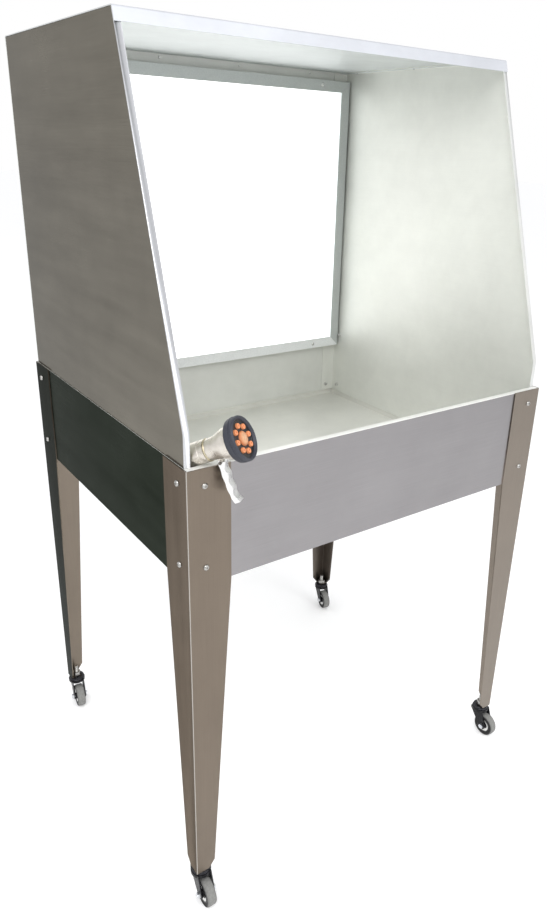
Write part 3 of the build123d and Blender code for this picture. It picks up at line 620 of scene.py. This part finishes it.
def caster(corner, swivel):
    """One swivel caster, in its own frame with the underside of the leg at z = 0."""
    x = STEM_X if corner.endswith("right") else -STEM_X
    y = STEM_YS[corner.split("_")[0]]
    stem = Matrix.Translation(Vector((x, y, CASTER_HEIGHT)) * MM)
    turn = stem @ Matrix.Rotation(math.radians(swivel), 4, "Z")
    upright = turn @ Matrix.Rotation(math.radians(-90), 4, "Y")
    axle_z = WHEEL_R - CASTER_HEIGHT
    wheel = (
        turn
        @ Matrix.Translation(Vector((TRAIL, 0, axle_z)) * MM)
        @ Matrix.Rotation(math.radians(90), 4, "Z")
    )
    prefix = f"caster_{corner}"
    crown_low = -RACE_T - FORK_GAP - CROWN_T
    head_top = crown_low - FORK_GAP
    lathe(
        f"{prefix}_race",
        (
            (0, STEM_R),
            (0, RACE_R - 1.6),
            (-0.5, RACE_R - 0.8),
            (-1.4, RACE_R - 0.8),
            (-1.9, RACE_R - 2.2),
            (-2.4, RACE_R - 0.5),
            (-3.0, RACE_R),
            (-4.4, RACE_R),
            (-RACE_T, RACE_R - 0.7),
            (-RACE_T, KINGPIN_R),
            (head_top, KINGPIN_R),
            (head_top, KINGPIN_HEAD_R),
            (head_top - KINGPIN_HEAD_T + 1, KINGPIN_HEAD_R),
            (head_top - KINGPIN_HEAD_T, KINGPIN_HEAD_R - 1.2),
            (head_top - KINGPIN_HEAD_T, 0),
            (0, 0),
        ),
        race_black,
        "booth",
        upright,
        (f"{prefix}_stem",),
        closed=False,
    )
    threads = [(0, STEM_R)]
    pitch = 1.5
    for step in range(int((STEM_HEIGHT - 2) / pitch)):
        base = 1 + step * pitch
        threads += [(base, STEM_R - 0.5), (base + pitch / 2, STEM_R)]
    lathe(
        f"{prefix}_stud",
        [(0, 0)] + threads + [(STEM_HEIGHT - 0.8, STEM_R - 0.3), (STEM_HEIGHT, STEM_R - 1), (STEM_HEIGHT, 0)],
        fastener_painted_dark,
        "booth",
        upright,
        turns=24,
        closed=False,
        smooth=20,
    )
    eased(f"{prefix}_fork", fork_black, 0.0006, f"{corner}_swivel")
    carry(f"{prefix}_axle", zinc)
    inner = HUB_R + 0.05
    lathe(
        f"{prefix}_tread",
        (
            (-7.2, inner),
            (-7.8, inner + 0.6),
            (-8.3, 19.0),
            (-9.0, 20.4),
            (-9.0, 22.0),
            (-8.5, 23.4),
            (-7.2, 24.4),
            (-5.0, 24.85),
            (-0.3, 25.0),
            (0.0, 24.9),
            (0.3, 25.0),
            (5.0, 24.85),
            (7.2, 24.4),
            (8.5, 23.4),
            (9.0, 22.0),
            (9.0, 20.4),
            (8.3, 19.0),
            (7.8, inner + 0.6),
            (7.2, inner),
        ),
        tyre_rubber,
        f"{corner}_wheel",
        wheel,
        (f"{prefix}_tyre",),
        smooth=50,
    )
    lathe(
        f"{prefix}_rim",
        (
            (-7.4, HUB_R),
            (-8.1, HUB_R - 0.6),
            (-8.1, 14.6),
            (-7.0, 13.2),
            (-6.2, 11.2),
            (-6.2, 9.4),
            (6.2, 9.4),
            (6.2, 11.2),
            (7.0, 13.2),
            (8.1, 14.6),
            (8.1, HUB_R - 0.6),
            (7.4, HUB_R),
        ),
        hub_pale,
        f"{corner}_wheel",
        wheel,
        (f"{prefix}_hub",),
    )
    lathe(
        f"{prefix}_boss",
        (
            (-4.5, 9.35),
            (-4.5, 7.4),
            (-HUB_HALF + 0.6, 6.9),
            (-HUB_HALF, 6.3),
            (-HUB_HALF, AXLE_R + 0.05),
            (HUB_HALF, AXLE_R + 0.05),
            (HUB_HALF, 6.3),
            (HUB_HALF - 0.6, 6.9),
            (4.5, 7.4),
            (4.5, 9.35),
        ),
        fork_black,
        f"{corner}_wheel",
        wheel,
    )


for corner, swivel in SWIVELS.items():
    caster(corner, swivel)


# Spray gun, built with its barrel on the local x axis


def gun_frame():
    """Place of the gun: x along the barrel, z up from it."""
    yaw = math.radians(GUN_YAW)
    pitch = math.radians(GUN_PITCH)
    aim = Vector(
        (math.cos(pitch) * math.sin(yaw), -math.cos(pitch) * math.cos(yaw), math.sin(pitch))
    )
    up = Vector(
        (-math.sin(pitch) * math.sin(yaw), math.sin(pitch) * math.cos(yaw), math.cos(pitch))
    )
    turn = Matrix((aim, up.cross(aim), up)).transposed().to_4x4()
    return Matrix.Translation(Vector(GUN_ORIGIN) * MM) @ turn


gun_place = gun_frame()
turret_x = CONE_LENGTH + FORK_GAP
face_x = turret_x + BEZEL_DEPTH - FACE_RECESS

lathe(
    "gun_body",
    (
        (-BARREL_BACK, 0),
        (-BARREL_BACK, 9.6),
        (-BARREL_BACK + 0.6, 10.8),
        (-BARREL_BACK + 4.0, 14.6),
        (-BARREL_BACK + 5.4, BARREL_R - 0.1),
        (-BARREL_BACK + 7.0, BARREL_R),
        (-13.0, BARREL_R),
        (-12.6, BARREL_R - 0.5),
        (-11.6, BARREL_R - 0.5),
        (-11.2, BARREL_R),
        (-NECK_WIDTH + 1.6, BARREL_R),
        (-NECK_WIDTH + 1.9, BARREL_R - 1.2),
        (-0.8, BARREL_R - 1.2),
        (-0.5, BARREL_R - 0.9),
        (6.0, NECK_R + 2.6),
        (13.0, NECK_R + 3.5),
        (20.0, NECK_R + 6.2),
        (30.0, NECK_R + 9.4),
        (CONE_LENGTH - 5.0, CONE_R - 1.6),
        (CONE_LENGTH - 2.6, CONE_R - 0.6),
        (CONE_LENGTH - 0.6, CONE_R),
        (CONE_LENGTH, CONE_R - 0.6),
        (CONE_LENGTH, 0),
    ),
    nickel,
    "booth",
    gun_place,
    closed=False,
    turns=72,
)
lathe(
    "gun_neck_ring",
    (
        (-NECK_WIDTH + 2.1, BARREL_R - 1.15),
        (-NECK_WIDTH + 2.1, BARREL_R - 0.6),
        (-NECK_WIDTH + 2.6, BARREL_R - 0.2),
        (-1.5, BARREL_R - 0.2),
        (-1.0, BARREL_R - 0.6),
        (-1.0, BARREL_R - 1.15),
    ),
    ring_brass,
    "booth",
    gun_place,
    turns=64,
)
lathe(
    "gun_bezel_ring",
    (
        (turret_x, FACE_R),
        (turret_x - BEZEL_SKIRT, FACE_R),
        (turret_x - BEZEL_SKIRT, BEZEL_R - 3.6),
        (turret_x - BEZEL_SKIRT + 1.0, BEZEL_R - 2.2),
        (turret_x - BEZEL_SKIRT / 2, BEZEL_R - 1.0),
        (turret_x + 2.0, BEZEL_R),
        (turret_x + 4.4, BEZEL_R),
        (turret_x + 4.8, BEZEL_R - 0.5),
        (turret_x + 5.4, BEZEL_R - 0.5),
        (turret_x + 5.8, BEZEL_R),
        (turret_x + 9.4, BEZEL_R),
        (turret_x + 10.8, BEZEL_R - 0.7),
        (turret_x + BEZEL_DEPTH, BEZEL_R - 1.8),
        (turret_x + BEZEL_DEPTH, FACE_R + 2.6),
        (turret_x + BEZEL_DEPTH - 1.0, FACE_R + 1.6),
        (turret_x + BEZEL_DEPTH - 3.4, FACE_R),
    ),
    bezel_rubber,
    "gun_turret",
    gun_place,
    ("gun_bezel",),
    turns=72,
)
lathe(
    "gun_dial_face",
    (
        (turret_x, 0),
        (turret_x, FACE_R - 0.1),
        (face_x, FACE_R - 0.1),
        (face_x, FACE_R - 2.0),
        (face_x - 0.7, FACE_R - 2.4),
        (face_x - 0.7, CENTRE_JET_R + 1.2),
        (face_x, CENTRE_JET_R + 0.6),
        (face_x, 0),
    ),
    dial_black,
    "gun_turret",
    gun_place,
    ("gun_dial",),
    closed=False,
    turns=64,
)
lathe(
    "gun_centre_jet",
    (
        (face_x, 0),
        (face_x, CENTRE_JET_R),
        (face_x + JET_H - 1.2, CENTRE_JET_R - 0.1),
        (face_x + JET_H, CENTRE_JET_R - 1.4),
        (face_x + JET_H + 0.8, CENTRE_JET_R - 4.4),
        (face_x + JET_H + 1.0, 0),
    ),
    disc_orange,
    "gun_turret",
    gun_place,
    ("gun_jets",),
    closed=False,
    smooth=60,
)
for step in range(JET_COUNT):
    angle = math.tau * step / JET_COUNT
    offset = Vector((0, math.cos(angle), math.sin(angle))) * JET_CIRCLE_R * MM
    lathe(
        f"gun_jet_{step}",
        (
            (face_x - 0.7, 1.3),
            (face_x - 0.7, JET_R),
            (face_x + JET_H - 1.0, JET_R - 0.2),
            (face_x + JET_H - 0.3, JET_R - 0.8),
            (face_x + JET_H, JET_R - 1.7),
            (face_x + JET_H - 0.4, 1.8),
            (face_x + JET_H - 1.8, 1.3),
        ),
        jet_orange,
        "gun_turret",
        gun_place @ Matrix.Translation(offset),
        turns=24,
        smooth=60,
    )


def gun_handle():
    """Grip: swelling oval sections along a line that leans back from the barrel."""
    lean = math.radians(GRIP_ANGLE)
    down = Vector((-math.sin(lean), 0, -math.cos(lean)))
    ahead = Vector((math.cos(lean), 0, -math.sin(lean)))
    bm = bmesh.new()
    rings = []
    sections = (
        (0.00, 0.92),
        (0.12, 0.94),
        (0.25, 0.99),
        (0.45, 1.00),
        (0.62, 0.97),
        (0.80, 0.90),
        (0.97, 0.86),
        (1.00, 0.80),
    )
    for share, swell in sections:
        middle = Vector((-GRIP_START, 0, 0)) + down * GRIP_LENGTH * share
        rings.append(
            [
                bm.verts.new((middle + ahead * deep + Vector((0, wide, 0))) * MM)
                for deep, wide in ring_outline(swell * GRIP_HALF_DEPTH, swell * GRIP_HALF_WIDTH, 32)
            ]
        )
    for first, second in zip(rings, rings[1:]):
        for step in range(len(first)):
            after = (step + 1) % len(first)
            bm.faces.new((first[step], second[step], second[after], first[after]))
    bm.faces.new(rings[0])
    bm.faces.new(rings[-1])
    mesh = to_mesh("gun_handle", bm)
    finish_piece("gun_handle", mesh, [nickel], "booth", ("gun_grip",), gun_place)
    inlet = Vector((-GRIP_START, 0, 0)) + down * GRIP_LENGTH
    turn = Matrix((down, Vector((0, 1, 0)), down.cross(Vector((0, 1, 0))))).transposed().to_4x4()
    rings = [(0, 9), (0, INLET_R - 0.4)]
    for step in range(6):
        rings += [(1.2 + 2 * step, INLET_R), (2.2 + 2 * step, INLET_R - 0.7)]
    lathe(
        "gun_hose_thread",
        rings + [(INLET_LENGTH, INLET_R - 0.9), (INLET_LENGTH, 9)],
        brass,
        "booth",
        gun_place @ Matrix.Translation(inlet * MM) @ turn,
        ("gun_inlet",),
        smooth=20,
    )


gun_handle()


def gun_lever():
    """Lever with finger waves down its front, a bowed back and a turned-out tip."""
    steps = 40
    front = []
    back = []
    for step in range(steps + 1):
        share = step / steps
        z = -PIVOT_DROP - TRIGGER_LENGTH * share
        lean = -LEVER_LEAN * math.sin(share * math.pi * 0.62)
        wave = LEVER_WAVE * math.cos(share * math.tau * LEVER_WAVES)
        depth = LEVER_DEPTH * (1 - 0.16 * share)
        tip = LEVER_TIP * max(0.0, share - 0.86) / 0.14
        back.append((PIVOT_X - EAR_R + lean + tip - 0.4 * wave, z))
        front.append((PIVOT_X - EAR_R + lean + tip + depth + wave, z))
    crown = []
    for step in range(1, 12):
        angle = math.pi * (1 - step / 12)
        crown.append((PIVOT_X + EAR_R * math.cos(angle), -PIVOT_DROP + EAR_R * math.sin(angle)))
    outline = list(reversed(back)) + crown + front
    bm = bmesh.new()
    sides = []
    for across, inset in ((-1, 1), (-1, 0), (1, 0), (1, 1)):
        middle = Vector((sum(x for x, _ in outline), sum(z for _, z in outline))) / len(outline)
        ring = []
        for x, z in outline:
            toward = Vector((middle.x - x, 0)) * (0.16 if inset else 0.0)
            y = across * (TRIGGER_HALF - (0.0 if inset else 1.6))
            ring.append(bm.verts.new(Vector((x + toward.x, y, z)) * MM))
        sides.append(ring)
    for first, second in zip(sides, sides[1:]):
        for step in range(len(outline)):
            after = (step + 1) % len(outline)
            bm.faces.new((first[step], second[step], second[after], first[after]))
    bm.faces.new(sides[0])
    bm.faces.new(sides[-1])
    mesh = to_mesh("gun_lever", bm)
    finish_piece(
        "gun_lever", mesh, [lever_metal], "gun_lever", ("gun_trigger",), gun_place, smooth=35
    )


gun_lever()


def gun_lug():
    """Rounded ear under the barrel that carries the lever's pin."""
    bm = bmesh.new()
    outline = [(PIVOT_X - EAR_R, -NECK_R), (PIVOT_X + EAR_R, -NECK_R)]
    for step in range(13):
        angle = -math.pi * step / 12
        outline.append((PIVOT_X + EAR_R * math.cos(angle), -PIVOT_DROP + EAR_R * math.sin(angle)))
    front = [bm.verts.new(Vector((x, -LUG_HALF, z)) * MM) for x, z in outline]
    back = [bm.verts.new(Vector((x, LUG_HALF, z)) * MM) for x, z in outline]
    bm.faces.new(front)
    bm.faces.new(back)
    for step in range(len(outline)):
        after = (step + 1) % len(outline)
        bm.faces.new((front[step], back[step], back[after], front[after]))
    mesh = to_mesh("gun_lug", bm)
    finish_piece("gun_lug", mesh, [nickel], "booth", ("gun_barrel",), gun_place)


gun_lug()


# Floor, light and camera


def stage_floor():
    """Plain pale floor."""
    bm = bmesh.new()
    bmesh.ops.create_grid(bm, x_segments=1, y_segments=1, size=FLOOR_HALF)
    mesh = bpy.data.meshes.new("stage_floor")
    bm.to_mesh(mesh)
    bm.free()
    material, tree, shader = new_material("floor_pale", Roughness=0.9, Emission_Strength=FLOOR_GLOW)
    shader.inputs["Emission Color"].default_value = (1, 1, 1, 1)
    cells = noise(tree, (2, 2, 2))
    tree.links.new(
        ramp(tree, cells, ((0.3, (0.955, 0.955, 0.955)), (0.7, (0.965, 0.965, 0.965)))),
        shader.inputs["Base Color"],
    )
    mesh.materials.append(material)
    floor = bpy.data.objects.new("stage_floor", mesh)
    bpy.context.scene.collection.objects.link(floor)


def studio_world():
    """White surroundings up to a little above the horizon, greyer higher up and a touch lighter again overhead.
    """
    world = bpy.data.worlds.new("studio")
    bpy.context.scene.world = world
    world.use_nodes = True
    tree = world.node_tree
    place = add_node(tree, "ShaderNodeTexCoord").outputs["Generated"]
    height = add_node(tree, "ShaderNodeSeparateXYZ", {"Vector": place}).outputs["Z"]
    colour = ramp(
        tree,
        remap(tree, height, -1.0, 1.0, 0.0, 1.0),
        ((0.60, (1.0, 1.0, 1.0)), (0.78, (0.84, 0.85, 0.87)), (1.0, (0.96, 0.96, 0.97))),
    )
    background = tree.nodes["Background"]
    tree.links.new(colour, background.inputs["Color"])
    background.inputs["Strength"].default_value = WORLD_STRENGTH


def area_light(name, place, target, size, power):
    """Soft square light aimed at a point."""
    light = bpy.data.lights.new(name, "AREA")
    light.shape = "SQUARE"
    light.size = size
    light.energy = power
    lamp = bpy.data.objects.new(name, light)
    bpy.context.scene.collection.objects.link(lamp)
    lamp.location = place
    lamp.rotation_mode = "QUATERNION"
    lamp.rotation_quaternion = (Vector(target) - Vector(place)).to_track_quat("-Z", "Y")


FLOOR_HALF = 30
FLOOR_GLOW = 0.11
WORLD_STRENGTH = 1.0
CAMERA_PLACE = (-0.8023, -1.1347, 1.2526)
CAMERA_LOOK = (0.55945, 0.742185, -0.369022)
CAMERA_RIGHT = (0.8063, -0.590484, 0.034783)
LENS = 28.97
SENSOR = 36
SHIFT_X = -0.0373
SHIFT_Y = -0.0219

stage_floor()
studio_world()
area_light("key", (-1.6, -1.8, 3.2), (0, 0, 0.8), 2.0, 60)
area_light("fill", (0.9, -3.2, 2.6), (0, 0, 0.8), 2.4, 40)

camera = bpy.data.cameras.new("camera")
camera.lens = LENS
camera.sensor_width = SENSOR
camera.shift_x = SHIFT_X
camera.shift_y = SHIFT_Y
camera.clip_start = 0.01
camera.clip_end = 100
viewer = bpy.data.objects.new("camera", camera)
bpy.context.scene.collection.objects.link(viewer)
look = Vector(CAMERA_LOOK)
right = Vector(CAMERA_RIGHT)
aimed = Matrix((right, right.cross(look), -look)).transposed().to_4x4()
viewer.matrix_world = Matrix.Translation(CAMERA_PLACE) @ aimed
bpy.context.scene.camera = viewer
bpy.context.scene.view_settings.view_transform = "Standard"

bpy.context.view_layer.update()
